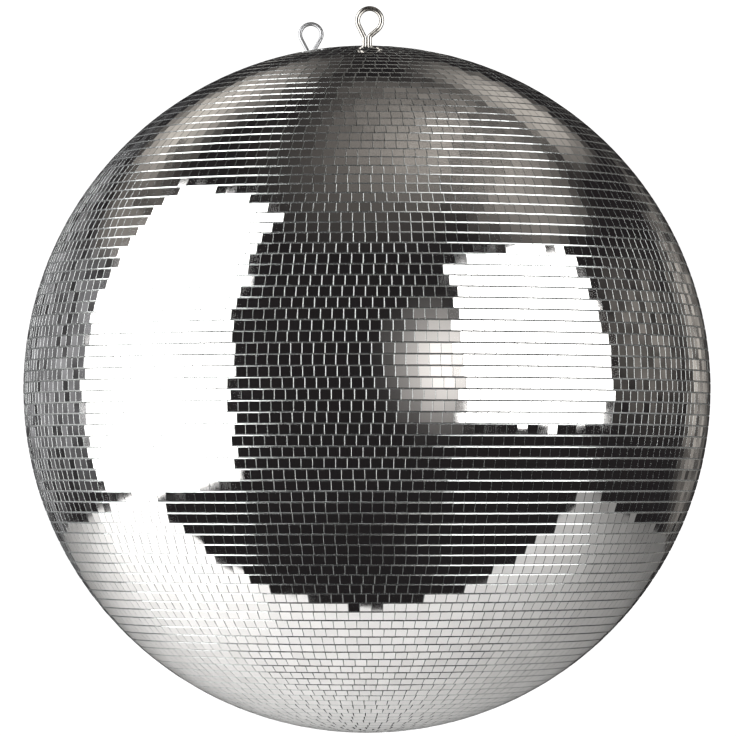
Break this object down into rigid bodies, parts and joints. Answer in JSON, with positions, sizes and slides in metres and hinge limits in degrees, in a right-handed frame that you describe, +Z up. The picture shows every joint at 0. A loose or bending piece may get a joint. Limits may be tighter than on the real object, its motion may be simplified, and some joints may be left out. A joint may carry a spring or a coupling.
{
  "type": "mirror ball",
  "caption": "Hanging mirror ball: hollow sphere tiled with small square mirrors in level rows, turning below a bent-wire eye, with a second wire eye for a safety cable.",
  "frame": {"origin": "on the ball's turning axis, under the top of the main eye's ring, where a hook bears", "axes": "+Z up along the turning axis, +X to the right and -Y towards the front: the rings of both eyes face the front"},
  "size_m": [0.61, 0.61, 0.6461],
  "materials": {
    "mirror_glass": "silvered flat glass tiles with cut edges",
    "adhesive": "dried pale grey adhesive",
    "core_plastic": "moulded, fine grain",
    "plated_steel": "zinc plated, pressed",
    "plated_wire": "nickel plated drawn wire",
    "rivet_aluminium": "drawn, dull"
  },
  "bodies": {
    "hanging_eye": {"main_eye": "plated_wire", "main_eye_washer": "plated_steel"},
    "ball": {"main_eye_bush": "plated_steel", "safety_eye_bush": "plated_steel", "crown_plate": "plated_steel", "crown_plate_rivets": "rivet_aluminium", "core_upper_shell": "core_plastic", "core_lower_shell": "core_plastic", "core_joint_ring": "core_plastic", "tile_adhesive": "adhesive", "bottom_closing_mirror": "mirror_glass", "mirror_belt_01": "mirror_glass", "mirror_belt_02": "mirror_glass", "mirror_belt_03": "mirror_glass", "mirror_belt_04": "mirror_glass", "mirror_belt_05": "mirror_glass", "mirror_belt_06": "mirror_glass", "mirror_belt_07": "mirror_glass", "mirror_belt_08": "mirror_glass", "mirror_belt_09": "mirror_glass", "mirror_belt_10": "mirror_glass", "mirror_belt_11": "mirror_glass", "mirror_belt_12": "mirror_glass", "mirror_belt_13": "mirror_glass", "mirror_belt_14": "mirror_glass", "mirror_belt_15": "mirror_glass", "mirror_belt_16": "mirror_glass", "mirror_belt_17": "mirror_glass", "mirror_belt_18": "mirror_glass", "mirror_belt_19": "mirror_glass"},
    "safety_eye": {"safety_eye": "plated_wire", "safety_eye_washer": "plated_steel"}
  },
  "joints": [
    {"name": "ball_turn", "type": "hinge", "parent": "hanging_eye", "child": "ball", "pos_m": [0, 0, 0], "axis": [0, 0, 1], "continuous": true},
    {"name": "safety_eye_swivel", "type": "hinge", "parent": "ball", "child": "safety_eye", "pos_m": [-0.04903, 0.06002, -0.04126], "axis": [-0.1607, 0.1968, 0.9672], "continuous": true}
  ]
}
